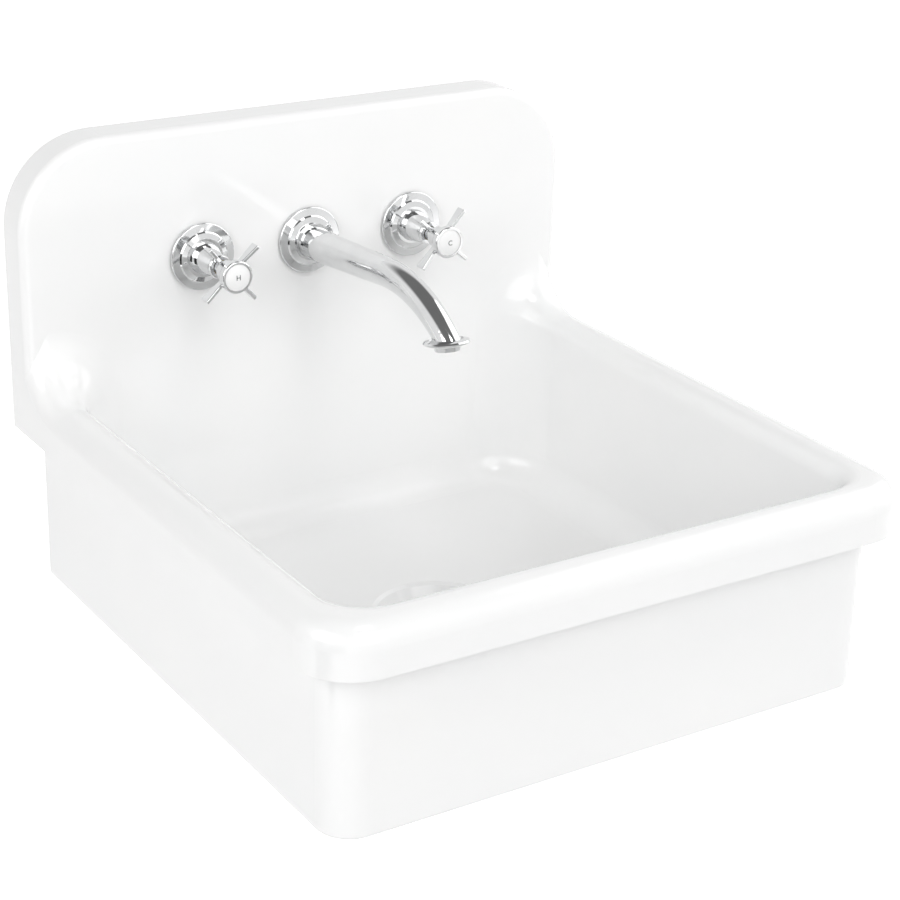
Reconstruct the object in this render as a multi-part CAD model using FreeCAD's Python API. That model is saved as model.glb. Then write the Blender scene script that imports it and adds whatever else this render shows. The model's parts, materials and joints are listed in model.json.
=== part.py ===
"""A wall-hung cast laundry sink with a high splash, a three-hole tap set and a basket waste.

Millimetres, X across, Y towards the wall, Z up. The wall is the plane Y = 0, and the origin is
the middle of the hanger's screw holes. Heights are given above the tub's underside, and "out" is
a distance in front of the splash's face, negative behind it.
"""
import FreeCAD
import Part
import math
import os

from FreeCAD import Vector

# Sink casting
sink_width = 520.0
sink_depth = 532.0
splash_above_taps = 111.0
splash_depth = 36.0
splash_corner_radius = 75.0
splash_roll_radius = 7.0
splash_return = 10.0
casting_sheet = 8.0
rim_lower_edge = 136.0
rim_crest = 176.0
rim_outer_roll = 19.0
rim_flat = 1.0
rim_inner_roll = 14.8
rim_corner_radius = 45.0
swoop_radius = 50.0
swoop_root_radius = 96.0
tub_width = 482.0
tub_front_inset = 21.0
tub_back_gap = 16.0
tub_corner_radius = 28.0
tub_foot_radius = 4.0
bowl_corner_radius = 30.0
bowl_floor_radius = 27.0
floor_thickness = 12.0

# Wall hanger and the lugs that hook on it
hanger_above_taps = 47.0
hanger_sheet = 3.0
hanger_length = 300.0
hanger_hole_radius = 3.5
hanger_hole_spacing_x = 240.0
hanger_hole_spacing_z = 24.0
hanger_edge = 10.0
hanger_step = 6.0
hook_height = 16.0
lug_width = 60.0
lug_spacing = 160.0
lug_wall_gap = 4.0
hook_clearance = 0.3

# Tap set
tap_spacing = 203.2
tap_height = 271.0
tap_hole_radius = 14.0
neck_radius = 12.8
neck_out = 6.0
thread_clearance = 0.05
seal_thickness = 1.5
seal_radius = 26.0
flange_radius = 29.0
flange_edge = 2.2
flange_step_radius = 21.0
flange_step_out = 4.6
flange_boss_radius = 16.6
flange_boss_out = 7.0
bell_base_radius = 14.0
bell_waist_radius = 11.6
bell_top_radius = 8.8
bell_top_out = 31.0
bell_waist_share = 0.55
bell_wall = 1.8
bell_collar_radius = 10.2
bell_collar_length = 4.5
bell_bore_radius = 6.5

# Valve bodies and their cartridges
body_radius = 17.0
body_length = 24.0
gasket_thickness = 1.5
gasket_radius = 16.5
chamber_radius = 9.0
chamber_floor = 19.5
seat_hole_radius = 3.5
gallery_radius = 4.0
inlet_depth = 26.0
outlet_depth = 17.0
boss_radius = 7.0
boss_reach = 26.0
socket_depth = 11.0
cartridge_clearance = 0.1
cartridge_hex_radius = 10.0
cartridge_hex_length = 4.0
cartridge_guide_radius = 7.0
cartridge_guide_out = 25.0
disc_radius = 7.2
disc_thickness = 3.0
disc_pocket_clearance = 0.2
disc_port_radius = 2.0
disc_port_offset = 4.0
spindle_radius = 4.0
spindle_foot_radius = 6.6
spindle_foot = 2.5
running_clearance = 0.06
o_ring_thickness = 1.2
o_ring_squeeze = 0.2
o_ring_clearance = 0.1
o_ring_outs = (4.0, 12.0)

# Cross handles
stem_radius = 6.0
stem_start_out = 34.0
hub_radius = 9.2
hub_start_out = 46.0
hub_end_out = 61.0
spoke_centre_out = 53.5
spoke_reach = 31.5
spoke_thickness = 3.4
spoke_root_width = 6.4
spoke_tip_width = 10.4
spoke_edge_radius = 0.9
spoke_count = 4
bezel_radius = 13.8
bezel_end_out = 67.0
bezel_edge_radius = 1.4
index_radius = 11.4
index_depth = 3.2
index_dome = 1.9
index_proud = 1.1
index_clearance = 0.1
spindle_end_out = 52.0
handle_web = 3.0
screw_radius = 2.0
screw_head_radius = 4.0
screw_head_length = 2.6
screw_depth = 12.0
screw_clearance = 0.1
hot_rest_angle = 41.0
cold_rest_angle = 49.0

# Supply tails and link tubes
tube_radius = 5.0
tube_wall = 1.0
tail_below_tub = 40.0
tail_end_length = 30.0
bead_length = 2.0
bead_height = 1.0
nut_across_flats = 17.0
nut_length = 14.0
nut_cover = 6.0

# Spout
spout_root_radius = 14.4
spout_end_radius = 9.8
spout_bore_radius = 9.0
spout_end_bore_radius = 8.0
spout_lead = 14.0
spout_rise_angle = 4.4
spout_rise_radius = 90.0
spout_reach = 166.0
spout_drop_radius = 140.0
spout_drop_angle = 48.0
spout_collar_radius = 16.4
spout_collar_length = 2.6
nipple_reach = 12.0
outlet_from_wall = 260.4
outlet_drop = 19.8
outlet_tilt = 11.0
outlet_profile = ((13.6, 0.0), (18.2, 1.2), (19.2, 2.4), (18.4, 3.6), (16.2, 4.6), (10.8, 5.6), (10.0, 9.4))
outlet_bore_radius = 7.8
insert_thickness = 3.0
insert_hole_radius = 1.2
insert_ring_share = 0.56
insert_hole_count = 6

# Basket waste
waste_from_wall = 258.0
dish_radius = 55.0
dish_lip_radius = 51.5
dish_lip_drop = 1.8
recess_radius = 44.5
recess_depth = 11.5
waste_boss_radius = 52.0
waste_boss_drop = 7.0
waste_hole_radius = 38.0
waste_flange_radius = 43.5
waste_sheet = 1.5
waste_seal = 1.5
waste_edge = 1.5
waste_seat_radius = 37.5
waste_clearance = 0.2
cup_radius = 35.5
cup_depth = 41.5
cup_seat_drop = 7.0
cup_neck_radius = 20.5
cup_neck_length = 14.0
grid_outer_radius = 15.0
grid_inner_radius = 6.0
grid_bar = 5.0
washer_radius = 49.0
washer_thickness = 3.0
friction_thickness = 1.0
locknut_radius = 49.0
locknut_length = 9.0
locknut_lug_count = 8
locknut_lug_size = 5.0
basket_rim_radius = 35.4
basket_rim_drop = 3.7
basket_radius = 29.5
basket_depth = 22.0
basket_sheet = 1.2
basket_hole_radius = 2.6
basket_ring_shares = (0.4, 0.62, 0.84)
basket_ring_counts = (8, 12, 16)
stopper_gap = 0.3
stem_pin_radius = 2.4
stem_pin_clearance = 0.3
stem_pin_below = 8.0
knob_radius = 8.5
knob_length = 7.0
knob_neck_radius = 4.5
knob_neck_length = 7.0
knob_edge_radius = 2.4
stopper_radius = 18.5
stopper_thickness = 5.0
stopper_hub_radius = 8.0
tail_radius = 19.0
tail_wall = 1.4
tail_flange_radius = 20.5
tail_flange_thickness = 2.0
tail_washer_thickness = 2.0
tail_length = 42.0
slip_nut_radius = 27.0
slip_nut_bore_clearance = 0.1
slip_nut_lip = 3.0
slip_nut_gap = 2.0

# One overrun serves every cut, and one tolerance every comparison
overrun = 2.0
tolerance = 1e-4

# Places worked out from the sizes above
splash_top = tap_height + splash_above_taps
hanger_height = tap_height + hanger_above_taps
outlet_height = tap_height - outlet_drop
half_width = sink_width / 2
rim_width = rim_outer_roll + rim_flat + rim_inner_roll
bowl_half_width = half_width - rim_width
bowl_front = sink_depth - rim_width
sheet_back = splash_depth - casting_sheet
tap_side = tap_spacing / 2
body_front_out = -(casting_sheet + gasket_thickness)
hook_top = hanger_hole_spacing_z / 2 + hanger_edge + hanger_sheet + hook_height
waste_top = floor_thickness - recess_depth + waste_seal
cup_floor = waste_top - cup_depth
diagonal_share = math.sqrt(0.5)
os.makedirs("parts", exist_ok=True)


def level(height):
    """The Z of a height above the tub's underside."""
    return height - hanger_height


def out_y(out):
    """The Y of a distance in front of the splash's face."""
    return -(splash_depth + out)


def save(name, *solids):
    """Write one node: a single solid, or a group of separate ones."""
    shape = solids[0] if len(solids) == 1 else Part.makeCompound(list(solids))
    shape.exportStep(f"parts/{name}.step")


def box(x0, x1, y0, y1, z0, z1):
    """A box between two corners."""
    return Part.makeBox(x1 - x0, y1 - y0, z1 - z0, Vector(x0, y0, z0))


def outline(start, *steps):
    """A closed face: each step is a point for a line, or a (through, end) pair for an arc."""
    edges = []
    last = start
    for step in steps:
        if isinstance(step, tuple):
            edges.append(Part.Arc(last, step[0], step[1]).toShape())
            last = step[1]
        else:
            edges.append(Part.makeLine(last, step))
            last = step
    if not last.isEqual(start, tolerance):
        edges.append(Part.makeLine(last, start))
    return Part.Face(Part.Wire(edges))


def turned_y(points, x, z):
    """Revolve a (radius, out) polygon about a tap's axis."""
    face = Part.Face(Part.makePolygon([Vector(r, out_y(out), 0) for r, out in points + points[:1]]))
    solid = face.revolve(Vector(), Vector(0, 1, 0), 360)
    solid.translate(Vector(x, 0, z))
    return solid


def turned_z(points, x, y):
    """Revolve a (radius, height) polygon about an upright axis."""
    face = Part.Face(Part.makePolygon([Vector(r, 0, level(h)) for r, h in points + points[:1]]))
    solid = face.revolve(Vector(), Vector(0, 0, 1), 360)
    solid.translate(Vector(x, y, 0))
    return solid


def rod_y(x, z, radius, out0, out1):
    """A cylinder along a tap's axis, from one distance out to another further out."""
    return Part.makeCylinder(radius, out1 - out0, Vector(x, out_y(out1), z), Vector(0, 1, 0))


def rod_z(x, y, radius, height0, height1):
    """An upright cylinder between two heights."""
    return Part.makeCylinder(radius, height1 - height0, Vector(x, y, level(height0)))


def rod_x(y, z, radius, x0, x1):
    """A cylinder across the sink."""
    return Part.makeCylinder(radius, abs(x1 - x0), Vector(min(x0, x1), y, z), Vector(1, 0, 0))


def hexagon(across_flats, length, base, direction):
    """A hexagonal prism on a base point, along a direction."""
    corner = across_flats / math.sqrt(3)
    turns = [k * math.pi / 3 for k in range(7)]
    points = [Vector(corner * math.cos(turn), corner * math.sin(turn), 0) for turn in turns]
    prism = Part.Face(Part.makePolygon(points)).extrude(Vector(0, 0, length))
    prism.Placement = FreeCAD.Placement(base, FreeCAD.Rotation(Vector(0, 0, 1), direction))
    return prism


def edges_where(shape, test):
    """The edges whose middle and both ends pass a test."""
    chosen = []
    for edge in shape.Edges:
        middle = edge.valueAt((edge.FirstParameter + edge.LastParameter) / 2)
        points = [vertex.Point for vertex in edge.Vertexes] + [middle]
        if all(test(p) for p in points):
            chosen.append(edge)
    return chosen


def near(a, b):
    """Whether two coordinates are the same."""
    return abs(a - b) < tolerance


def plan_corner(x, y, radius, sign_x, sign_y):
    """The middle of a plan corner's arc, for an arc of that radius about a centre."""
    return Vector(x + sign_x * radius * diagonal_share, y + sign_y * radius * diagonal_share, 0)


def bowl_prism(height0, height1):
    """A prism with the bowl's plan, still square at the back."""
    block = box(-bowl_half_width, bowl_half_width, -bowl_front, -splash_depth, level(height0), level(height1))
    upright = edges_where(block, lambda p: near(abs(p.x), bowl_half_width) and near(p.y, -bowl_front))
    return block.makeFillet(bowl_corner_radius, upright)


# Sink body

def make_tub():
    """The flat-sided tub below the rim, still solid."""
    front = -(sink_depth - tub_front_inset)
    half = tub_width / 2
    block = box(-half, half, front, -tub_back_gap, level(0), level(rim_lower_edge + casting_sheet))
    corners = edges_where(block, lambda p: near(p.y, front) and near(abs(p.x), half))
    block = block.makeFillet(tub_corner_radius, corners)
    foot = edges_where(block, lambda p: near(p.z, level(0)))
    return block.makeFillet(tub_foot_radius, [e for e in foot if not near(e.CenterOfMass.y, -tub_back_gap)])


def make_rim():
    """The rolled rim, as a plate with the bowl's opening in it."""
    straight = half_width - rim_corner_radius
    turn = -(sink_depth - rim_corner_radius)
    plan = outline(
        Vector(-half_width, 0, 0),
        Vector(-half_width, turn, 0),
        (plan_corner(-straight, turn, rim_corner_radius, -1, -1), Vector(-straight, -sink_depth, 0)),
        Vector(straight, -sink_depth, 0),
        (plan_corner(straight, turn, rim_corner_radius, 1, -1), Vector(half_width, turn, 0)),
        Vector(half_width, 0, 0))
    plan.translate(Vector(0, 0, level(rim_lower_edge)))
    plate = plan.extrude(Vector(0, 0, rim_crest - rim_lower_edge))
    crest = level(rim_crest)
    top = edges_where(plate, lambda p: near(p.z, crest))
    plate = plate.makeFillet(rim_outer_roll, [e for e in top if not near(e.CenterOfMass.y, 0)])
    plate = plate.cut(bowl_prism(rim_lower_edge - overrun, rim_crest + overrun))
    lip = edges_where(plate, lambda p: near(p.z, crest) and abs(p.x) < bowl_half_width + rim_flat / 2
                      and -(bowl_front + rim_flat / 2) < p.y < -splash_depth / 2)
    return plate.makeFillet(rim_inner_roll, [e for e in lip if not near(e.CenterOfMass.y, -splash_depth)])


def make_splash():
    """The splash, a slab with round top corners and a rolled front edge."""
    slab = box(-half_width, half_width, -splash_depth, 0, level(rim_lower_edge), level(splash_top))
    corners = edges_where(slab, lambda p: near(p.z, level(splash_top)) and near(abs(p.x), half_width))
    slab = slab.makeFillet(splash_corner_radius, corners)
    front = edges_where(slab, lambda p: near(p.y, -splash_depth))
    return slab.makeFillet(splash_roll_radius, [e for e in front if e.CenterOfMass.z > level(rim_crest)])


def make_swoop(side):
    """One side's sweep from the rim up into the splash: the outer roll turns up, and a hollow fillet goes
    over the inner roll and down into the bowl's corner."""
    crest = level(rim_crest)
    axis = Vector(0, -(splash_depth + swoop_radius), crest + swoop_radius)
    foot = axis.z - swoop_root_radius
    outer = half_width - rim_outer_roll
    inner = bowl_half_width + rim_inner_roll
    slant = rim_outer_roll * diagonal_share

    def at(x, z):
        return Vector(side * x, axis.y, z)

    section = outline(
        at(half_width, foot),
        at(half_width, crest - rim_outer_roll),
        (at(outer + slant, crest - rim_outer_roll + slant), at(outer, crest)),
        at(inner, crest),
        at(inner, foot))
    roll = section.revolve(axis, Vector(1, 0, 0), 90)
    roll = roll.common(box(-half_width, half_width, -sink_depth, 0, level(rim_lower_edge), axis.z))
    centre = Vector(side * inner, 0, crest - rim_inner_roll)
    slant = swoop_radius * diagonal_share

    def beside(above, y):
        return Vector(side * inner, y, crest + above)

    hollow = outline(
        beside(-overrun, overrun - splash_depth),
        beside(swoop_radius, overrun - splash_depth),
        beside(swoop_radius, -splash_depth),
        (beside(swoop_radius - slant, axis.y + slant), beside(0, axis.y)),
        beside(-overrun, axis.y))
    fillet = hollow.revolve(centre, Vector(0, -side, 0), 90)
    near_x = side * (bowl_half_width - swoop_radius)
    far_x = side * (bowl_half_width + overrun)
    corner = box(min(near_x, far_x), max(near_x, far_x), axis.y, overrun - splash_depth,
                 level(rim_lower_edge), centre.z)
    return [roll, fillet, corner]


def make_bowl():
    """The space inside the bowl."""
    space = bowl_prism(floor_thickness, rim_crest - rim_inner_roll)
    back = edges_where(space, lambda p: near(abs(p.x), bowl_half_width) and near(p.y, -splash_depth))
    space = space.makeFillet(swoop_radius, back)
    floor = edges_where(space, lambda p: near(p.z, level(floor_thickness)))
    return space.makeFillet(bowl_floor_radius, floor)


def make_hollows():
    """The hollow behind the splash, and the one behind the bowl below it."""
    half = half_width - splash_return
    top = level(splash_top - splash_return)
    upper = box(-half, half, -sheet_back, overrun, level(rim_crest + casting_sheet), top)
    upper = upper.makeFillet(splash_corner_radius - splash_return,
                             edges_where(upper, lambda p: near(p.z, top) and near(abs(p.x), half)))
    half = tub_width / 2 - floor_thickness
    lower = box(-half, half, -sheet_back, overrun, level(-overrun), level(rim_crest + casting_sheet + overrun))
    return [upper, lower]


def make_lug(x):
    """A lug on the splash's back, slotted from below for the hanger's hook."""
    back = -lug_wall_gap
    foot = hook_top - hook_height + hanger_sheet
    top = level(splash_top - splash_return / 2)
    block = box(x - lug_width / 2, x + lug_width / 2, -(sheet_back + overrun), back, foot, top)
    hook_back = -(hanger_sheet + hanger_step)
    hook_front = hook_back - hanger_sheet
    slot = box(x - lug_width, x + lug_width, hook_front - hook_clearance, hook_back + hook_clearance,
               foot - overrun, hook_top)
    return block.cut(slot)


def make_sink_body():
    """The whole casting."""
    body = make_tub().fuse([make_rim(), make_splash()] + make_swoop(-1) + make_swoop(1))
    body = body.cut([make_bowl()] + make_hollows())
    body = body.fuse([make_lug(-lug_spacing / 2), make_lug(lug_spacing / 2)])
    z = level(tap_height)
    recess_floor = floor_thickness - recess_depth
    body = body.fuse(rod_z(0, -waste_from_wall, waste_boss_radius, -waste_boss_drop, recess_floor))
    holes = [rod_y(x, z, tap_hole_radius, -splash_depth, overrun) for x in (-tap_side, 0, tap_side)]
    holes.append(rod_z(0, -waste_from_wall, waste_hole_radius, -waste_boss_drop - overrun, floor_thickness))
    holes.append(turned_z([
        (0, recess_floor),
        (recess_radius, recess_floor),
        (dish_lip_radius, floor_thickness - dish_lip_drop),
        (dish_radius, floor_thickness),
        (dish_radius, floor_thickness + overrun),
        (0, floor_thickness + overrun)], 0, -waste_from_wall))
    return body.cut(holes).removeSplitter()


def make_wall_hanger():
    """The steel hanger on the wall: a plate with four screw holes and an upturned hook."""
    half = hanger_length / 2
    plate_top = hanger_hole_spacing_z / 2 + hanger_edge + hanger_sheet
    hook_front = -(2 * hanger_sheet + hanger_step)
    plate = box(-half, half, -hanger_sheet, 0, -(hanger_hole_spacing_z / 2 + hanger_edge), plate_top)
    step = box(-half, half, hook_front, 0, plate_top - hanger_sheet, plate_top)
    hook = box(-half, half, hook_front, hook_front + hanger_sheet, plate_top - hanger_sheet, hook_top)
    holes = []
    wall_out = -splash_depth
    for x in (-hanger_hole_spacing_x / 2, hanger_hole_spacing_x / 2):
        for z in (-hanger_hole_spacing_z / 2, hanger_hole_spacing_z / 2):
            front_out = wall_out + hanger_sheet
            holes.append(rod_y(x, z, hanger_hole_radius, wall_out - overrun, front_out + overrun))
    return plate.fuse([step, hook]).removeSplitter().cut(holes)


# Tap set

def make_flange(x, bore):
    """A round flange on its seal, with a small step, a low cone and a hole for what passes through it."""
    z = level(tap_height)
    flange = turned_y([
        (bore, seal_thickness),
        (flange_radius, seal_thickness),
        (flange_radius, seal_thickness + flange_edge),
        (flange_step_radius + flange_edge / 2, flange_step_out),
        (flange_step_radius, flange_step_out + flange_edge / 2),
        (flange_boss_radius, flange_boss_out),
        (bore, flange_boss_out)], x, z)
    rim = (flange_radius, out_y(seal_thickness + flange_edge))
    boss_edge = (flange_boss_radius, out_y(flange_boss_out))
    soft = []
    for edge in flange.Edges:
        for radius, y in (rim, boss_edge):
            if edge.Closed and near(edge.Curve.Radius, radius) and near(edge.Curve.Center.y, y):
                soft.append(edge)
    return flange.makeFillet(flange_edge / 2, soft)


def make_ring(x, outer, inner, out0, out1):
    """A flat ring round a tap's axis."""
    z = level(tap_height)
    return rod_y(x, z, outer, out0, out1).cut(rod_y(x, z, inner, out0 - overrun, out1 + overrun))


def make_gasket(x):
    """The rubber gasket between a body and the back of the splash."""
    return make_ring(x, gasket_radius, tap_hole_radius, body_front_out, -casting_sheet)


def make_bell(x):
    """The bell-shaped shroud over a cartridge, with a small collar at its end."""
    axis_z = level(tap_height)
    waist_out = flange_boss_out + bell_waist_share * (bell_top_out - flange_boss_out)
    collar_end = bell_top_out + bell_collar_length
    collar_middle = (bell_top_out + collar_end) / 2
    collar_edge = bell_collar_radius - bell_wall / 2
    guide = cartridge_guide_radius + thread_clearance

    def at(radius, out):
        return Vector(radius, out_y(out), 0)

    skin = outline(
        at(bell_base_radius - bell_wall, flange_boss_out),
        at(bell_base_radius, flange_boss_out),
        (at(bell_waist_radius, waist_out), at(bell_top_radius, bell_top_out)),
        at(collar_edge, bell_top_out),
        (at(bell_collar_radius, collar_middle), at(collar_edge, collar_end)),
        at(bell_bore_radius, collar_end),
        at(bell_bore_radius, cartridge_guide_out),
        at(guide, cartridge_guide_out),
        at(guide, waist_out),
        at(bell_waist_radius - bell_wall, waist_out))
    bell = skin.revolve(Vector(), Vector(0, 1, 0), 360)
    bell.translate(Vector(x, 0, axis_z))
    return bell


def boss(x, depth, direction):
    """A port's boss on a body behind the splash, as (outside, socket, gallery) rods."""
    start = Vector(x, out_y(-depth), level(tap_height))
    end = start + direction * (boss_reach - socket_depth)
    return (Part.makeCylinder(boss_radius, boss_reach, start, direction),
            Part.makeCylinder(tube_radius + thread_clearance, socket_depth + overrun, end, direction),
            Part.makeCylinder(gallery_radius, boss_reach, start, direction))


def make_valve_body(x, inward):
    """A brass valve body: a block and ports behind the splash, and a neck through it."""
    z = level(tap_height)
    back_out = body_front_out - body_length
    inlet = boss(x, inlet_depth, Vector(0, 0, -1))
    outlet = boss(x, outlet_depth, Vector(inward, 0, 0))
    body = rod_y(x, z, body_radius, back_out, body_front_out)
    body = body.fuse([rod_y(x, z, neck_radius, body_front_out, neck_out), inlet[0], outlet[0]])
    chamber = rod_y(x, z, chamber_radius, -chamber_floor, neck_out + overrun)
    seat_hole = rod_y(x, z, seat_hole_radius, -inlet_depth, -chamber_floor + overrun)
    return body.cut([chamber, seat_hole, *inlet[1:], *outlet[1:]]).removeSplitter()


def make_tee_body():
    """The brass body behind the splash that joins both link tubes to the spout."""
    z = level(tap_height)
    ports = [boss(0, outlet_depth, Vector(side, 0, 0)) for side in (-1, 1)]
    body = rod_y(0, z, body_radius, body_front_out - body_length, body_front_out)
    body = body.fuse([rod_y(0, z, neck_radius, body_front_out, neck_out)] + [port[0] for port in ports])
    way = rod_y(0, z, spout_bore_radius + thread_clearance, -chamber_floor, neck_out + overrun)
    return body.cut([way] + [rod for port in ports for rod in port[1:]]).removeSplitter()


def make_cartridge(x):
    """A cartridge's brass shell, with a pocket for the discs and a bore for the spindle."""
    z = level(tap_height)
    shell_radius = chamber_radius - cartridge_clearance
    hex_end = neck_out + cartridge_hex_length
    shell = rod_y(x, z, shell_radius, -chamber_floor, neck_out)
    shell = shell.fuse([rod_y(x, z, cartridge_hex_radius, neck_out, hex_end),
                        rod_y(x, z, cartridge_guide_radius, hex_end, cartridge_guide_out)])
    pocket_end = 2 * disc_thickness + spindle_foot + running_clearance - chamber_floor
    pocket = rod_y(x, z, disc_radius + disc_pocket_clearance, -chamber_floor - overrun, pocket_end)
    bore = rod_y(x, z, spindle_radius + running_clearance, -chamber_floor, cartridge_guide_out + overrun)
    port_y = out_y(disc_thickness + disc_thickness / 2 - chamber_floor)
    ports = rod_x(port_y, z, disc_thickness / 2, x - chamber_radius, x + chamber_radius)
    return shell.cut([pocket, bore, ports]).removeSplitter()


def make_disc(x, out0, angle):
    """A ceramic disc with two round ports, turned by an angle."""
    z = level(tap_height)
    disc = rod_y(x, z, disc_radius, out0, out0 + disc_thickness)
    swing = math.radians(angle)
    out1 = out0 + disc_thickness
    ports = []
    for side in (-1, 1):
        port_x = x + side * disc_port_offset * math.cos(swing)
        port_z = z + side * disc_port_offset * math.sin(swing)
        ports.append(rod_y(port_x, port_z, disc_port_radius, out0 - overrun, out1 + overrun))
    return disc.cut(ports)


def make_spindle(x):
    """The spindle: a foot on the moving disc, a shaft with O-ring grooves and a screw hole in its end."""
    z = level(tap_height)
    foot_out = 2 * disc_thickness - chamber_floor
    spindle = rod_y(x, z, spindle_foot_radius, foot_out, foot_out + spindle_foot)
    spindle = spindle.fuse(rod_y(x, z, spindle_radius, foot_out + spindle_foot, spindle_end_out))
    groove_floor = spindle_radius - o_ring_thickness + o_ring_squeeze
    half = o_ring_thickness / 2 + o_ring_clearance
    outer = spindle_radius + overrun
    cuts = [make_ring(x, outer, groove_floor, out - half, out + half) for out in o_ring_outs]
    cuts.append(rod_y(x, z, screw_radius, spindle_end_out - screw_depth, spindle_end_out + overrun))
    return spindle.cut(cuts)


def make_o_rings(x):
    """The two O-rings in a spindle's grooves."""
    outer = spindle_radius + running_clearance / 2
    floor = spindle_radius - o_ring_thickness + o_ring_squeeze
    half = o_ring_thickness / 2
    return [make_ring(x, outer, floor, out - half, out + half) for out in o_ring_outs]


def make_spoke():
    """One blade of a cross handle along +X, which widens along the axis towards its tip."""
    mid = out_y(spoke_centre_out)
    root = spoke_root_width / 2
    tip = spoke_tip_width / 2
    side = -spoke_thickness / 2
    blade = outline(
        Vector(0, mid - root, side),
        Vector(hub_radius, mid - root, side),
        Vector(spoke_reach, mid - tip, side),
        Vector(spoke_reach, mid + tip, side),
        Vector(hub_radius, mid + root, side),
        Vector(0, mid + root, side)).extrude(Vector(0, 0, spoke_thickness))
    edges = edges_where(blade, lambda p: p.x > hub_radius or near(p.x, hub_radius))
    return blade.makeFillet(spoke_edge_radius, edges)


def make_handle(x, rest_angle):
    """A cross handle: stem, hub, four blades and the cup for its index button."""
    z = level(tap_height)
    cup_start = hub_end_out - bezel_edge_radius
    handle = rod_y(x, z, stem_radius, stem_start_out, hub_start_out + overrun)
    cup = rod_y(x, z, bezel_radius, cup_start, bezel_end_out)
    cup = cup.makeFillet(bezel_edge_radius, [e for e in cup.Edges if e.Closed])
    spokes = []
    for k in range(spoke_count):
        spoke = make_spoke()
        spoke.rotate(Vector(), Vector(0, -1, 0), rest_angle + k * 360 / spoke_count)
        spoke.translate(Vector(x, 0, z))
        spokes.append(spoke)
    handle = handle.fuse([rod_y(x, z, hub_radius, hub_start_out, hub_end_out), cup] + spokes)
    seat = bezel_end_out - index_depth
    return handle.cut([
        rod_y(x, z, spindle_radius + thread_clearance, stem_start_out - overrun, spindle_end_out),
        rod_y(x, z, screw_radius + screw_clearance, spindle_end_out - overrun, seat),
        rod_y(x, z, screw_head_radius + screw_clearance, spindle_end_out + handle_web, seat + overrun),
        rod_y(x, z, index_radius + index_clearance, seat, bezel_end_out + overrun)]).removeSplitter()


def make_handle_screw(x):
    """The screw that holds a handle on its spindle."""
    z = level(tap_height)
    head_out = spindle_end_out + handle_web
    thread = rod_y(x, z, screw_radius - thread_clearance, spindle_end_out - screw_depth + overrun, head_out)
    head = rod_y(x, z, screw_head_radius, head_out, head_out + screw_head_length)
    return thread.fuse(head).removeSplitter()


def make_index_button(x):
    """The domed index button in a handle's cup."""
    z = level(tap_height)
    seat = bezel_end_out - index_depth

    def at(radius, out):
        return Vector(radius, out_y(out), 0)

    sphere = (index_radius ** 2 + index_dome ** 2) / (2 * index_dome)
    half_angle = math.asin(index_radius / sphere) / 2
    top = bezel_end_out + index_proud
    dome = outline(
        at(0, seat),
        at(index_radius, seat),
        at(index_radius, top - index_dome),
        (at(sphere * math.sin(half_angle), top - sphere + sphere * math.cos(half_angle)), at(0, top)))
    button = dome.revolve(Vector(), Vector(0, 1, 0), 360)
    button.translate(Vector(x, 0, z))
    return button


def make_tube(start, end):
    """A straight copper tube between two points."""
    way = end - start
    tube = Part.makeCylinder(tube_radius, way.Length, start, way)
    return tube.cut(Part.makeCylinder(tube_radius - tube_wall, way.Length, start, way))


def make_nut(port_end, direction):
    """A compression nut over the end of a port's boss and the tube that leaves it."""
    base = port_end - direction * nut_cover
    nut = hexagon(nut_across_flats, nut_length, base, direction)
    return nut.cut([Part.makeCylinder(boss_radius + thread_clearance, nut_cover, base, direction),
                    Part.makeCylinder(tube_radius + thread_clearance, nut_length, base, direction)])


def make_supply_tail(x):
    """The copper tail from a valve body's inlet to below the tub, with a stop bead above its end."""
    y = out_y(-inlet_depth)
    top = level(tap_height) - boss_reach + socket_depth
    tube = make_tube(Vector(x, y, top), Vector(x, y, level(-tail_below_tub)))
    stop = tail_end_length - tail_below_tub
    bead = rod_z(x, y, tube_radius + bead_height, stop, stop + bead_length)
    bead = bead.cut(rod_z(x, y, tube_radius - tube_wall, stop - overrun, stop + bead_length + overrun))
    return tube.fuse(bead).removeSplitter()


def make_tap(name, x, inward, rest_angle):
    """Every piece of one tap."""
    z = level(tap_height)
    save(f"{name}_flange_seal", make_ring(x, seal_radius, tap_hole_radius, 0, seal_thickness))
    save(f"{name}_flange", make_flange(x, neck_radius + thread_clearance))
    save(f"{name}_bell", make_bell(x))
    save(f"{name}_valve_body", make_valve_body(x, inward))
    save(f"{name}_body_gasket", make_gasket(x))
    save(f"{name}_cartridge", make_cartridge(x))
    save(f"{name}_fixed_disc", make_disc(x, -chamber_floor, 90))
    save(f"{name}_moving_disc", make_disc(x, disc_thickness - chamber_floor, 0))
    save(f"{name}_spindle", make_spindle(x))
    save(f"{name}_spindle_o_rings", *make_o_rings(x))
    save(f"{name}_handle", make_handle(x, rest_angle))
    save(f"{name}_handle_screw", make_handle_screw(x))
    save(f"{name}_index_button", make_index_button(x))
    save(f"{name}_supply_tail", make_supply_tail(x))
    port_end = Vector(x, out_y(-inlet_depth), z - boss_reach)
    save(f"{name}_supply_nut", make_nut(port_end, Vector(0, 0, -1)))


# Spout

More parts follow.
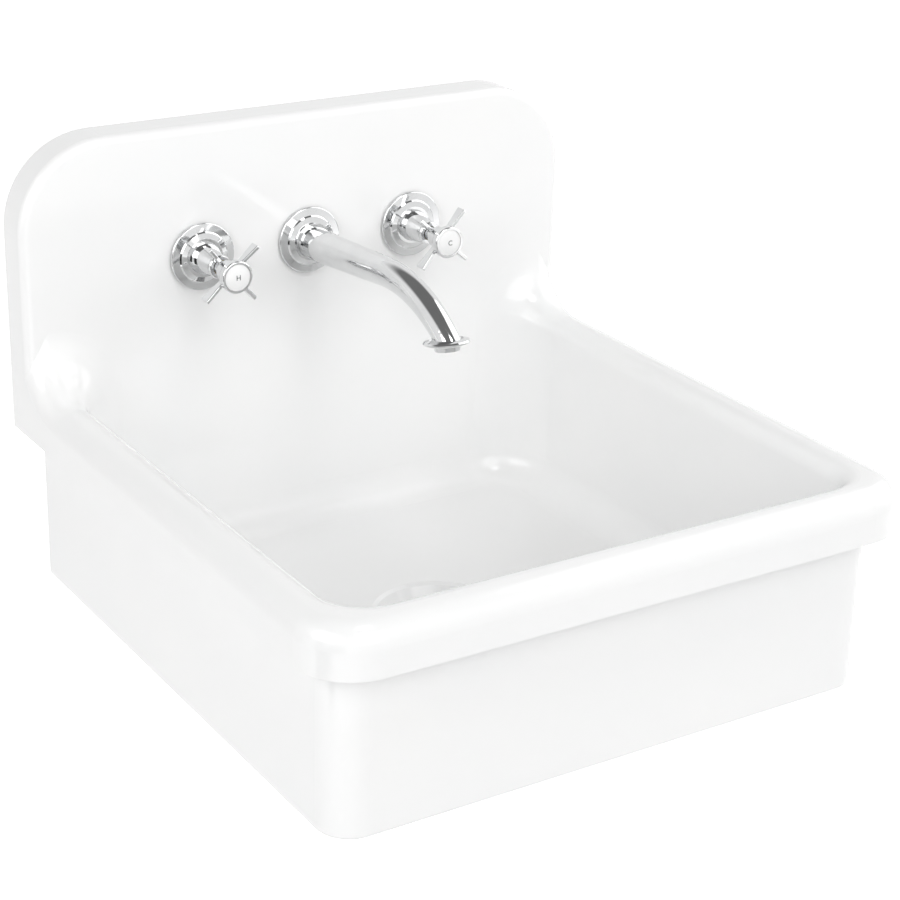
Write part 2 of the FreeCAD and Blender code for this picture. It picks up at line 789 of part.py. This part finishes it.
def spout_path():
    """The spout's centre line: out level, a slight rise, a long run, then a sweep down."""
    rise = math.radians(spout_rise_angle)
    drop = math.radians(spout_drop_angle)
    start = Vector(0, out_y(flange_boss_out), level(tap_height))
    lead = start + Vector(0, -spout_lead, 0)

    def arc(point, heading, radius, turn):
        """An arc that turns upwards for a positive turn, as (through, end)."""
        sign = math.copysign(1, turn)
        centre = point + Vector(0, sign * math.sin(heading), sign * math.cos(heading)) * radius
        places = []
        for part in (turn / 2, turn):
            angle = heading + part
            places.append(centre - Vector(0, sign * math.sin(angle), sign * math.cos(angle)) * radius)
        return places

    rise_mid, rise_end = arc(lead, 0, spout_rise_radius, rise)
    run = spout_reach + rise_end.y
    run_end = rise_end + Vector(0, -math.cos(rise), math.sin(rise)) * (run / math.cos(rise))
    drop_mid, drop_end = arc(run_end, rise, spout_drop_radius, -(rise + drop))
    return Part.Wire([Part.makeLine(start, lead), Part.Arc(lead, rise_mid, rise_end).toShape(),
                      Part.makeLine(rise_end, run_end), Part.Arc(run_end, drop_mid, drop_end).toShape()])


def at_outlet(shape):
    """Move a shape made about the upright axis, below zero, to the spout's tilted outlet."""
    shape.rotate(Vector(), Vector(1, 0, 0), -outlet_tilt)
    shape.translate(Vector(0, -outlet_from_wall, level(outlet_height)))
    return shape


def ring_wire(centre, heading, radius):
    """A circle square to a heading."""
    return Part.Wire(Part.makeCircle(radius, centre, heading))


def make_spout_tube():
    """The spout's tapering tube, cut level at its outlet."""
    path = spout_path()
    first, last = path.Edges[0], path.Edges[-1]
    start = first.valueAt(first.FirstParameter)
    end = last.valueAt(last.LastParameter)
    headings = [first.tangentAt(first.FirstParameter), last.tangentAt(last.LastParameter)]
    skin = path.makePipeShell([ring_wire(start, headings[0], spout_root_radius),
                               ring_wire(end, headings[1], spout_end_radius)], True, False)
    bore = path.makePipeShell([ring_wire(start, headings[0], spout_bore_radius + thread_clearance),
                               ring_wire(end, headings[1], spout_end_bore_radius)], True, False)
    reach = spout_drop_radius / 2
    return skin.cut([bore, at_outlet(box(-reach, reach, -reach, reach, -reach, 0))])


def make_outlet():
    """The turned outlet on the spout's end: a round flange with a lip below it."""
    foot = outlet_profile[-1][1]
    points = [(outlet_bore_radius, 0), *outlet_profile, (outlet_bore_radius, foot)]
    face = Part.Face(Part.makePolygon([Vector(r, 0, -drop) for r, drop in points + points[:1]]))
    return at_outlet(face.revolve(Vector(), Vector(0, 0, 1), 360))


def make_outlet_insert():
    """The flow insert in the outlet's lip, with a ring of holes round a middle one."""
    foot = -outlet_profile[-1][1]
    insert = Part.makeCylinder(outlet_bore_radius - thread_clearance, insert_thickness, Vector(0, 0, foot))
    ring = outlet_bore_radius * insert_ring_share
    places = [Vector(0, 0, foot - overrun)]
    for k in range(insert_hole_count):
        turn = k * 2 * math.pi / insert_hole_count
        places.append(Vector(ring * math.cos(turn), ring * math.sin(turn), foot - overrun))
    depth = insert_thickness + 2 * overrun
    return at_outlet(insert.cut([Part.makeCylinder(insert_hole_radius, depth, place) for place in places]))


def make_spout():
    """Every piece of the spout, its tee and the link tubes."""
    z = level(tap_height)
    save("spout_flange_seal", make_ring(0, seal_radius, tap_hole_radius, 0, seal_thickness))
    save("spout_flange", make_flange(0, neck_radius + thread_clearance))
    collar_bore = spout_root_radius + thread_clearance
    collar_end = flange_boss_out + spout_collar_length
    save("spout_collar", make_ring(0, spout_collar_radius, collar_bore, flange_boss_out, collar_end))
    save("spout_tube", make_spout_tube())
    nipple_bore = spout_bore_radius - tube_wall
    nipple_end = flange_boss_out + nipple_reach
    save("spout_nipple", make_ring(0, spout_bore_radius, nipple_bore, body_front_out, nipple_end))
    save("spout_tee_body", make_tee_body())
    save("spout_body_gasket", make_gasket(0))
    save("spout_outlet", make_outlet())
    save("outlet_insert", make_outlet_insert())
    y = out_y(-outlet_depth)
    stop = boss_reach - socket_depth
    nuts = []
    for name, side in (("hot", -1), ("cold", 1)):
        tube = make_tube(Vector(side * (tap_side - stop), y, z), Vector(side * stop, y, z))
        save(f"{name}_link_tube", tube)
        nuts.append(make_nut(Vector(side * (tap_side - boss_reach), y, z), Vector(-side, 0, 0)))
        nuts.append(make_nut(Vector(side * boss_reach, y, z), Vector(side, 0, 0)))
    save("link_tube_nuts", *nuts)


# Basket waste

def make_strainer_body():
    """The strainer's pressed cup: flange in the recess, seat for the basket, grid and threaded neck."""
    inner = cup_radius - waste_sheet
    neck_inner = cup_neck_radius - waste_sheet
    neck_foot = cup_floor - cup_neck_length
    cup = turned_z([
        (waste_flange_radius, waste_top),
        (waste_flange_radius, waste_top + waste_sheet / 2),
        (waste_flange_radius - waste_edge, waste_top + waste_sheet),
        (waste_seat_radius, waste_top + waste_sheet),
        (inner, waste_top + waste_sheet - cup_seat_drop),
        (inner, cup_floor + waste_sheet),
        (0, cup_floor + waste_sheet),
        (0, cup_floor),
        (neck_inner, cup_floor),
        (neck_inner, neck_foot),
        (cup_neck_radius, neck_foot),
        (cup_neck_radius, cup_floor),
        (cup_radius, cup_floor),
        (cup_radius, waste_top - cup_seat_drop),
        (waste_hole_radius - waste_clearance, waste_top)], 0, -waste_from_wall)
    low = cup_floor - overrun
    high = cup_floor + waste_sheet + overrun
    reach = grid_outer_radius + overrun
    half_bar = grid_bar / 2
    middle = -waste_from_wall
    bars = [box(-reach, reach, middle - half_bar, middle + half_bar, level(low), level(high)),
            box(-half_bar, half_bar, middle - reach, middle + reach, level(low), level(high))]
    ways = make_waste_ring(grid_outer_radius, grid_inner_radius, low, high).cut(bars)
    guide = rod_z(0, middle, stem_pin_radius + stem_pin_clearance, low, high)
    return cup.cut([ways, guide])


def make_waste_ring(outer, inner, height0, height1):
    """A flat ring round the waste."""
    ring = rod_z(0, -waste_from_wall, outer, height0, height1)
    return ring.cut(rod_z(0, -waste_from_wall, inner, height0 - overrun, height1 + overrun))


def make_locknut(top):
    """The big locknut under the tub, with lugs round it for a spanner."""
    bore = cup_radius + thread_clearance
    nut = make_waste_ring(locknut_radius - locknut_lug_size, bore, top - locknut_length, top)
    lugs = []
    for k in range(locknut_lug_count):
        half = locknut_lug_size / 2
        lug = box(bore + half, locknut_radius, -half, half, level(top - locknut_length), level(top))
        lug.rotate(Vector(), Vector(0, 0, 1), k * 360 / locknut_lug_count)
        lug.translate(Vector(0, -waste_from_wall, 0))
        lugs.append(lug)
    return nut.fuse(lugs).removeSplitter()


def make_basket():
    """The lift-out basket: a rim on the cup's seat, a straight wall and a floor with rings of holes."""
    rim_height = waste_top + waste_sheet - basket_rim_drop
    foot = rim_height - basket_depth
    inner = basket_radius - basket_sheet
    basket = turned_z([
        (basket_rim_radius, rim_height),
        (basket_rim_radius, rim_height + basket_sheet),
        (inner, rim_height + basket_sheet),
        (inner, foot + basket_sheet),
        (0, foot + basket_sheet),
        (0, foot),
        (basket_radius, foot),
        (basket_radius, rim_height)], 0, -waste_from_wall)
    low = foot - overrun
    high = foot + basket_sheet + overrun
    holes = [rod_z(0, -waste_from_wall, stem_pin_radius + thread_clearance, low, high)]
    for share, count in zip(basket_ring_shares, basket_ring_counts):
        ring = share * basket_radius
        for k in range(count):
            angle = 2 * math.pi * k / count
            x, y = ring * math.cos(angle), ring * math.sin(angle) - waste_from_wall
            holes.append(rod_z(x, y, basket_hole_radius, low, high))
    return basket.cut(holes), foot


def make_basket_stem(basket_foot):
    """The basket's pin with the knob that lifts it."""
    seat = basket_foot + basket_sheet
    shoulder = seat + knob_neck_length
    knob = rod_z(0, -waste_from_wall, knob_radius, shoulder, shoulder + knob_length)
    knob = knob.makeFillet(knob_edge_radius, [e for e in knob.Edges if e.Closed])
    neck = rod_z(0, -waste_from_wall, knob_neck_radius, seat, shoulder)
    pin = rod_z(0, -waste_from_wall, stem_pin_radius, cup_floor - stem_pin_below, seat)
    return knob.fuse([neck, pin]).removeSplitter()


def make_stopper(basket_foot):
    """The rubber stopper under the basket, which shuts the grid."""
    foot = cup_floor + waste_sheet + stopper_gap
    bore = stem_pin_radius + thread_clearance
    return turned_z([
        (bore, foot),
        (stopper_radius, foot),
        (stopper_radius, foot + stopper_thickness / 2),
        (stopper_hub_radius, foot + stopper_thickness),
        (stopper_hub_radius, basket_foot),
        (bore, basket_foot)], 0, -waste_from_wall)


def make_waste():
    """Every piece of the waste."""
    recess_floor = floor_thickness - recess_depth
    save("strainer_body", make_strainer_body())
    seal = make_waste_ring(waste_flange_radius, waste_hole_radius, recess_floor, waste_top)
    save("strainer_gasket", seal)
    bore = cup_radius + thread_clearance
    washer_foot = -(waste_boss_drop + washer_thickness)
    friction_foot = washer_foot - friction_thickness
    save("waste_washer", make_waste_ring(washer_radius, bore, washer_foot, -waste_boss_drop))
    friction_radius = locknut_radius - locknut_lug_size
    save("friction_ring", make_waste_ring(friction_radius, bore, friction_foot, washer_foot))
    save("waste_locknut", make_locknut(friction_foot))
    basket, basket_foot = make_basket()
    save("strainer_basket", basket)
    save("basket_stem", make_basket_stem(basket_foot))
    save("basket_stopper", make_stopper(basket_foot))
    neck_foot = cup_floor - cup_neck_length
    washer_low = neck_foot - tail_washer_thickness
    flange_low = washer_low - tail_flange_thickness
    tail_inner = tail_radius - tail_wall
    save("tailpiece_washer", make_waste_ring(cup_neck_radius, tail_inner, washer_low, neck_foot))
    tail_foot = flange_low - tail_length
    stop = tail_foot + tail_end_length
    tail = make_waste_ring(tail_flange_radius, tail_inner, flange_low, washer_low)
    tail = tail.fuse([make_waste_ring(tail_radius, tail_inner, tail_foot, flange_low),
                      make_waste_ring(tail_radius + bead_height, tail_inner, stop, stop + bead_length)])
    save("tailpiece", tail.removeSplitter())
    nut_foot = flange_low - slip_nut_lip
    nut_bore = cup_neck_radius + slip_nut_bore_clearance
    nut = make_waste_ring(slip_nut_radius, nut_bore, flange_low, cup_floor - slip_nut_gap)
    lip = make_waste_ring(slip_nut_radius, tail_radius + slip_nut_bore_clearance, nut_foot, flange_low)
    save("slip_nut", nut.fuse(lip).removeSplitter())


save("sink_body", make_sink_body())
save("wall_hanger", make_wall_hanger())
make_tap("hot", -tap_side, 1, hot_rest_angle)
make_tap("cold", tap_side, -1, cold_rest_angle)
make_spout()
make_waste()
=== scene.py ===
"""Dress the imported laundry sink: finishes, index letters, studio and camera."""
import json
import math
from collections import namedtuple

import bpy
from mathutils import Matrix, Vector


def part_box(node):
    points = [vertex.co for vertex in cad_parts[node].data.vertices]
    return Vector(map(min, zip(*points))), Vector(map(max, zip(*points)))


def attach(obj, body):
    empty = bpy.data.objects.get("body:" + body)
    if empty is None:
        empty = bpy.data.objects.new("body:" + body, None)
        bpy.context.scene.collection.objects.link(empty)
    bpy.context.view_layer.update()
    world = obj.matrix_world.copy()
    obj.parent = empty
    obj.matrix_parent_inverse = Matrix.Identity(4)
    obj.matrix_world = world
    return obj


# Camera, fitted to the sink's edges: sensor and lens in millimetres, place in metres, angles in radians
SENSOR = 36.0
LENS = 88.64
EYE = (-0.88148, -1.63878, 0.52221)
AZIMUTH = -0.572113
ELEVATION = 0.395660
ROLL = -0.026438

# Studio: a bright horizon under a dim ceiling, soft boxes, and a dark flag that only reflections see
WHITE = (1.0, 1.0, 1.0, 1.0)
FLOOR_HEIGHT = -1.042
FLOOR_HALF = 14.0
FLOOR_TONE = 0.86
FLOOR_LIFT = 0.75
HORIZON_LIGHT = 0.63
CEILING_SHARE = 0.12
CEILING_SHOWN = 0.2
CEILING_START = 0.55
CEILING_END = 0.80
FLAG_TONE = 0.02
FLAG_CORNERS = ((-1.7, -2.3, -1.04), (-1.7, -0.45, -1.04), (-1.7, -0.45, 0.1), (-1.7, -2.3, 0.1))
MATT = 1.0

# Each lamp's name, place, diameter and power in watts; all of them look at one point
LAMPS = (
    ("lamp_front", (0.0, -4.6, 2.6), 4.2, 92.0),
    ("lamp_left", (-2.5, -0.9, 1.0), 2.2, 32.0),
    ("lamp_right", (2.4, -0.6, 1.4), 3.2, 42.0),
    ("lamp_top", (0.0, -0.9, 1.3), 0.5, 3.2),
)
LAMP_AIM = (0.0, -0.3, -0.1)

# A noise has a scale and a detail, and may be stretched along the axes and distorted
Noise = namedtuple("Noise", "scale detail stretch distortion", defaults=(None, 0.0))
Cells = namedtuple("Cells", "scale")

# A coat has a tint that runs through colour stops, a gloss that runs from smooth to dull, and perhaps a relief
Coat = namedtuple(
    "Coat", "metallic tint stops gloss smooth dull relief strength depth", defaults=(None, 0.0, 0.0))

# The values between which most of a noise lies
NOISE_LOW = 0.3
NOISE_HIGH = 0.7


def between(dark, light):
    """Colour stops from the low to the high values of a noise."""
    return (NOISE_LOW, dark), (NOISE_HIGH, light)


COATS = {
    "chrome": Coat(
        metallic=1.0,
        tint=Noise(70.0, 3.0), stops=between((0.685, 0.691, 0.696), (0.725, 0.729, 0.732)),
        gloss=Noise(120.0, 3.0), smooth=0.04, dull=0.09,
        relief=Noise(60.0, 1.0), strength=0.02, depth=0.0008),
    "brass": Coat(
        metallic=1.0,
        tint=Noise(60.0, 4.0), stops=between((0.62, 0.45, 0.19), (0.76, 0.60, 0.30)),
        gloss=Noise(220.0, 3.0), smooth=0.22, dull=0.38,
        relief=Noise(80.0, 2.0, (1.0, 30.0, 1.0)), strength=0.12, depth=0.0004),
    "copper": Coat(
        metallic=1.0,
        tint=Noise(45.0, 5.0, distortion=0.6),
        stops=((0.32, (0.46, 0.22, 0.13)), (0.55, (0.70, 0.38, 0.24)), (0.75, (0.80, 0.47, 0.32))),
        gloss=Noise(110.0, 4.0), smooth=0.2, dull=0.42,
        relief=Noise(260.0, 2.0, (1.0, 1.0, 0.08)), strength=0.06, depth=0.0003),
    "steel": Coat(
        metallic=1.0,
        tint=Cells(70.0), stops=((0.2, (0.50, 0.51, 0.53)), (0.8, (0.66, 0.67, 0.68))),
        gloss=Noise(150.0, 4.0), smooth=0.3, dull=0.5,
        relief=Noise(400.0, 2.0), strength=0.08, depth=0.0003),
    "stainless": Coat(
        metallic=1.0,
        tint=Noise(90.0, 3.0), stops=between((0.58, 0.58, 0.585), (0.68, 0.68, 0.68)),
        gloss=Noise(300.0, 3.0, (1.0, 0.06, 1.0)), smooth=0.16, dull=0.30,
        relief=Noise(700.0, 2.0, (1.0, 0.04, 1.0)), strength=0.05, depth=0.0002),
    "rubber": Coat(
        metallic=0.0,
        tint=Noise(130.0, 4.0), stops=between((0.035, 0.035, 0.036), (0.07, 0.07, 0.069)),
        gloss=Noise(300.0, 3.0), smooth=0.62, dull=0.85,
        relief=Noise(900.0, 3.0), strength=0.2, depth=0.0002),
    "fibre": Coat(
        metallic=0.0,
        tint=Noise(500.0, 5.0, (1.0, 0.2, 1.0), 0.8), stops=between((0.42, 0.34, 0.24), (0.62, 0.54, 0.42)),
        gloss=Noise(400.0, 3.0), smooth=0.8, dull=0.95,
        relief=Noise(800.0, 4.0), strength=0.25, depth=0.0003),
    "plastic": Coat(
        metallic=0.0,
        tint=Noise(160.0, 3.0), stops=between((0.29, 0.30, 0.31), (0.35, 0.36, 0.37)),
        gloss=Noise(260.0, 3.0), smooth=0.38, dull=0.52,
        relief=Noise(2200.0, 2.0), strength=0.12, depth=0.0001),
    "ceramic": Coat(
        metallic=0.0,
        tint=Noise(140.0, 3.0), stops=between((0.86, 0.85, 0.815), (0.91, 0.90, 0.875)),
        gloss=Noise(500.0, 2.0), smooth=0.1, dull=0.2),
    "ink": Coat(
        metallic=0.0,
        tint=Noise(900.0, 3.0), stops=between((0.03, 0.03, 0.032), (0.06, 0.06, 0.062)),
        gloss=Noise(600.0, 2.0), smooth=0.25, dull=0.45),
    "index": Coat(
        metallic=0.0,
        tint=Noise(120.0, 2.0), stops=between((0.885, 0.885, 0.882), (0.915, 0.915, 0.915)),
        gloss=Noise(200.0, 2.0), smooth=0.08, dull=0.16,
        relief=Noise(300.0, 1.0), strength=0.03, depth=0.0002),
}
IOR = 1.5

# The enamel's glaze, and the bare casting that shows where there is none
GLAZE = Coat(
    metallic=0.0,
    tint=Noise(9.0, 3.0), stops=between((0.872, 0.875, 0.875), (0.888, 0.888, 0.885)),
    gloss=Noise(24.0, 3.0), smooth=0.06, dull=0.12)
BARE = Coat(
    metallic=0.0,
    tint=Noise(180.0, 4.0), stops=between((0.66, 0.63, 0.57), (0.78, 0.76, 0.71)),
    gloss=Noise(300.0, 3.0), smooth=0.75, dull=0.95,
    relief=Noise(900.0, 3.0), strength=0.3, depth=0.0004)
ENAMEL_IOR = 1.52

# Where the casting is bare: the hollows at its back, inside a rectangle with two round corners, and the face that
# it stands on when fired. The border wanders by a little
BARE_BACK = -0.0315
BARE_HALF_WIDTH = 0.2395
BARE_CORNER_X = 0.185
BARE_CORNER_Z = -0.011
BARE_CORNER_RADIUS = 0.0695
BARE_FOOT = -0.3168
BARE_WANDER = 0.0011
BARE_BORDER = Noise(35.0, 3.0)

# A colour Mix node has several sockets of each name, so its colour sockets go by number
MIX_FIRST = 6
MIX_SECOND = 7
MIX_RESULT = 2

# Index letters: each one's button, body and text, then their sizes
LETTERS = (("hot_index_button", "hot_handle", "H"), ("cold_index_button", "cold_handle", "C"))
LETTER_HEIGHT = 0.0062
LETTER_SINK = 0.00009
LETTER_DEPTH = 0.00012
QUARTER_TURN = math.pi / 2

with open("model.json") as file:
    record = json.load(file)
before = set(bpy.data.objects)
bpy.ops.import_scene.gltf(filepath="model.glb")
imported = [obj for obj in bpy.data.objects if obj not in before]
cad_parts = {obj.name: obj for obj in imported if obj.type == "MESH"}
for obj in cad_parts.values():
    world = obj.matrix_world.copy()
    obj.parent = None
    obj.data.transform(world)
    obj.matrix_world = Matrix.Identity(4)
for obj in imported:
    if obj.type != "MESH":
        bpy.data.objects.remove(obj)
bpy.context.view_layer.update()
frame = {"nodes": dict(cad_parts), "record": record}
nodes = frame["nodes"]


def math_node(tree, operation, first, second=0.0):
    """A Math node on two sockets or numbers."""
    node = tree.nodes.new("ShaderNodeMath")
    node.operation = operation
    for socket, value in zip(node.inputs, (first, second)):
        if isinstance(value, float):
            socket.default_value = value
        else:
            tree.links.new(value, socket)
    return node.outputs[0]


class Finish:
    """A node material with short names for the nodes that the finishes use."""

    def __init__(self, name, metallic, ior):
        self.material = bpy.data.materials.new(name)
        self.material.use_nodes = True
        self.tree = self.material.node_tree
        self.shader = self.tree.nodes["Principled BSDF"]
        self.shader.inputs["Metallic"].default_value = metallic
        self.shader.inputs["IOR"].default_value = ior
        self.place = self.add("ShaderNodeTexCoord").outputs["Object"]

    def add(self, kind):
        return self.tree.nodes.new(kind)

    def link(self, source, target):
        self.tree.links.new(source, target)

    def math(self, operation, first, second=0.0):
        return math_node(self.tree, operation, first, second)

    def stretched(self, scale):
        mapping = self.add("ShaderNodeMapping")
        mapping.inputs["Scale"].default_value = scale
        self.link(self.place, mapping.inputs["Vector"])
        return mapping.outputs["Vector"]

    def noise(self, settings):
        node = self.add("ShaderNodeTexNoise")
        node.inputs["Scale"].default_value = settings.scale
        node.inputs["Detail"].default_value = settings.detail
        node.inputs["Distortion"].default_value = settings.distortion
        place = self.stretched(settings.stretch) if settings.stretch else self.place
        self.link(place, node.inputs["Vector"])
        return node.outputs["Fac"]

    def cells(self, settings):
        node = self.add("ShaderNodeTexVoronoi")
        node.inputs["Scale"].default_value = settings.scale
        self.link(self.place, node.inputs["Vector"])
        return node.outputs["Color"]

    def ramp(self, source, stops):
        node = self.add("ShaderNodeValToRGB")
        elements = node.color_ramp.elements
        for stop in stops[1:-1]:
            elements.new(stop[0])
        for element, (at, color) in zip(elements, stops):
            element.position = at
            element.color = (*color, 1.0)
        self.link(source, node.inputs["Fac"])
        return node.outputs["Color"]

    def spread(self, source, low, high):
        node = self.add("ShaderNodeMapRange")
        node.inputs["From Min"].default_value = NOISE_LOW
        node.inputs["From Max"].default_value = NOISE_HIGH
        node.inputs["To Min"].default_value = low
        node.inputs["To Max"].default_value = high
        self.link(source, node.inputs["Value"])
        return node.outputs["Result"]

    def mixed(self, share, first, second):
        node = self.add("ShaderNodeMix")
        node.data_type = "RGBA"
        self.link(share, node.inputs["Factor"])
        self.link(first, node.inputs[MIX_FIRST])
        self.link(second, node.inputs[MIX_SECOND])
        return node.outputs[MIX_RESULT]

    def tint(self, coat):
        pattern = self.cells if isinstance(coat.tint, Cells) else self.noise
        return self.ramp(pattern(coat.tint), coat.stops)

    def gloss(self, coat):
        return self.spread(self.noise(coat.gloss), coat.smooth, coat.dull)

    def set_color(self, source):
        self.link(source, self.shader.inputs["Base Color"])

    def set_roughness(self, source):
        self.link(source, self.shader.inputs["Roughness"])

    def set_bump(self, height, coat):
        node = self.add("ShaderNodeBump")
        node.inputs["Strength"].default_value = coat.strength
        node.inputs["Distance"].default_value = coat.depth
        self.link(height, node.inputs["Height"])
        self.link(node.outputs["Normal"], self.shader.inputs["Normal"])


def make_finish(name):
    """The material of one of the coats."""
    coat = COATS[name]
    finish = Finish(name, coat.metallic, IOR)
    finish.set_color(finish.tint(coat))
    finish.set_roughness(finish.gloss(coat))
    if coat.relief:
        finish.set_bump(finish.noise(coat.relief), coat)
    return finish.material


def make_enamel():
    """White glaze, with the bare casting in the places that have none."""
    finish = Finish("enamel", GLAZE.metallic, ENAMEL_IOR)
    bare = bare_places(finish)
    finish.set_color(finish.mixed(bare, finish.tint(GLAZE), finish.tint(BARE)))
    finish.set_roughness(finish.mixed(bare, finish.gloss(GLAZE), finish.gloss(BARE)))
    finish.set_bump(finish.math("MULTIPLY", finish.noise(BARE.relief), bare), BARE)
    return finish.material


def bare_places(finish):
    """One where the casting has no glaze, with a slightly wandering border."""
    split = finish.add("ShaderNodeSeparateXYZ")
    finish.link(finish.place, split.inputs[0])
    wander = finish.spread(finish.noise(BARE_BORDER), -BARE_WANDER, BARE_WANDER)
    x, y, z = (finish.math("ADD", split.outputs[axis], wander) for axis in range(3))
    across = finish.math("ABSOLUTE", x)
    past_x = finish.math("MAXIMUM", finish.math("SUBTRACT", across, BARE_CORNER_X), 0.0)
    past_z = finish.math("MAXIMUM", finish.math("SUBTRACT", z, BARE_CORNER_Z), 0.0)
    reach = finish.math("ADD", finish.math("POWER", past_x, 2.0), finish.math("POWER", past_z, 2.0))
    inside = finish.math("LESS_THAN", reach, BARE_CORNER_RADIUS ** 2)
    inside = finish.math("MULTIPLY", inside, finish.math("LESS_THAN", across, BARE_HALF_WIDTH))
    behind = finish.math("MULTIPLY", finish.math("GREATER_THAN", y, BARE_BACK), inside)
    return finish.math("MAXIMUM", behind, finish.math("LESS_THAN", z, BARE_FOOT))


def dress_nodes(finishes):
    """Give every CAD node the finish of its material slot."""
    for subpart in frame["record"]["subparts"]:
        piece = nodes[subpart["node"]]
        piece.data.materials.clear()
        piece.data.materials.append(finishes[subpart["material_slot"]])


def make_letters(ink):
    """A plain letter on each index button, let into the top of its dome."""
    for button, body, letter in LETTERS:
        low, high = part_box(button)
        curve = bpy.data.curves.new(f"{button}_letter", "FONT")
        curve.body = letter
        curve.size = LETTER_HEIGHT
        curve.align_x = "CENTER"
        curve.align_y = "CENTER"
        curve.extrude = LETTER_DEPTH
        curve.materials.append(ink)
        piece = bpy.data.objects.new(f"{button}_letter", curve)
        piece.location = ((low[0] + high[0]) / 2, low[1] + LETTER_SINK, (low[2] + high[2]) / 2)
        piece.rotation_euler = (QUARTER_TURN, 0.0, 0.0)
        bpy.context.scene.collection.objects.link(piece)
        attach(piece, body)


def seen_rays(tree):
    """The camera's share of the rays, and that of the camera, reflections and glass together."""
    path = tree.nodes.new("ShaderNodeLightPath")
    camera = path.outputs["Is Camera Ray"]
    mirrored = math_node(tree, "MAXIMUM", path.outputs["Is Glossy Ray"], path.outputs["Is Transmission Ray"])
    return camera, math_node(tree, "MAXIMUM", camera, mirrored)


def make_world():
    """A white world for the camera, with a ceiling that is dim in reflections and dimmer as light."""
    world = bpy.data.worlds.new("studio")
    world.use_nodes = True
    tree = world.node_tree
    split = tree.nodes.new("ShaderNodeSeparateXYZ")
    tree.links.new(tree.nodes.new("ShaderNodeTexCoord").outputs["Generated"], split.inputs[0])
    dim = tree.nodes.new("ShaderNodeMapRange")
    dim.interpolation_type = "SMOOTHSTEP"
    dim.inputs["From Min"].default_value = CEILING_START
    dim.inputs["From Max"].default_value = CEILING_END
    dim.inputs["To Min"].default_value = 1.0
    dim.inputs["To Max"].default_value = CEILING_SHARE
    tree.links.new(split.outputs["Z"], dim.inputs["Value"])
    camera, seen = seen_rays(tree)
    mirrored = math_node(tree, "MAXIMUM", dim.outputs["Result"], CEILING_SHOWN)
    shown = math_node(tree, "MAXIMUM", camera, mirrored)
    light = math_node(tree, "MULTIPLY", dim.outputs["Result"], HORIZON_LIGHT)
    mix = tree.nodes.new("ShaderNodeMixShader")
    tree.links.new(seen, mix.inputs["Fac"])
    for strength, socket in zip((light, shown), mix.inputs[1:]):
        background = tree.nodes.new("ShaderNodeBackground")
        background.inputs["Color"].default_value = WHITE
        tree.links.new(strength, background.inputs["Strength"])
        tree.links.new(background.outputs[0], socket)
    tree.links.new(mix.outputs[0], tree.nodes["World Output"].inputs["Surface"])
    bpy.context.scene.world = world


def make_sheet(name, corners, tone):
    """A flat four-cornered stage piece of one matt grey, with its material's nodes."""
    mesh = bpy.data.meshes.new(name)
    mesh.from_pydata(corners, [], [(0, 1, 2, 3)])
    sheet = bpy.data.objects.new(name, mesh)
    bpy.context.scene.collection.objects.link(sheet)
    material = bpy.data.materials.new(name)
    material.use_nodes = True
    shader = material.node_tree.nodes["Principled BSDF"]
    shader.inputs["Base Color"].default_value = (tone, tone, tone, 1.0)
    shader.inputs["Roughness"].default_value = MATT
    mesh.materials.append(material)
    return sheet, material.node_tree


def make_floor():
    """A pale floor, lifted to white for the rays that see it, which keeps the object's shadow."""
    sides = ((-1, -1), (1, -1), (1, 1), (-1, 1))
    corners = [(x * FLOOR_HALF, y * FLOOR_HALF, FLOOR_HEIGHT) for x, y in sides]
    tree = make_sheet("floor", corners, FLOOR_TONE)[1]
    shader = tree.nodes["Principled BSDF"]
    shader.inputs["Emission Color"].default_value = WHITE
    lift = math_node(tree, "MULTIPLY", seen_rays(tree)[1], FLOOR_LIFT)
    tree.links.new(lift, shader.inputs["Emission Strength"])


def make_flag():
    """A dark card at the left, which only reflections see."""
    flag = make_sheet("flag", FLAG_CORNERS, FLAG_TONE)[0]
    flag.visible_camera = False
    flag.visible_diffuse = False
    flag.visible_transmission = False
    flag.visible_shadow = False


def make_lamps():
    """The soft boxes, round and turned towards the sink."""
    for name, place, size, power in LAMPS:
        data = bpy.data.lights.new(name, "AREA")
        data.shape = "DISK"
        data.size = size
        data.energy = power
        lamp = bpy.data.objects.new(name, data)
        lamp.location = place
        lamp.rotation_euler = (Vector(LAMP_AIM) - Vector(place)).to_track_quat("-Z", "Y").to_euler()
        bpy.context.scene.collection.objects.link(lamp)


def make_camera():
    """The camera at the photograph's viewing angle."""
    level = math.cos(ELEVATION)
    back = Vector((math.sin(AZIMUTH) * level, -math.cos(AZIMUTH) * level, math.sin(ELEVATION)))
    right = (-back).cross(Vector((0.0, 0.0, 1.0))).normalized()
    up = back.cross(right)
    turned_right = math.cos(ROLL) * right - math.sin(ROLL) * up
    turned_up = math.sin(ROLL) * right + math.cos(ROLL) * up
    turn = Matrix((turned_right, turned_up, back)).transposed()
    data = bpy.data.cameras.new("camera")
    data.sensor_width = SENSOR
    data.lens = LENS
    camera = bpy.data.objects.new("camera", data)
    camera.matrix_world = Matrix.Translation(EYE) @ turn.to_4x4()
    bpy.context.scene.collection.objects.link(camera)
    bpy.context.scene.camera = camera


finishes = {name: make_finish(name) for name in COATS}
finishes["enamel"] = make_enamel()
dress_nodes(finishes)
make_letters(finishes["ink"])
make_world()
make_floor()
make_flag()
make_lamps()
make_camera()
bpy.context.scene.view_settings.view_transform = "Standard"
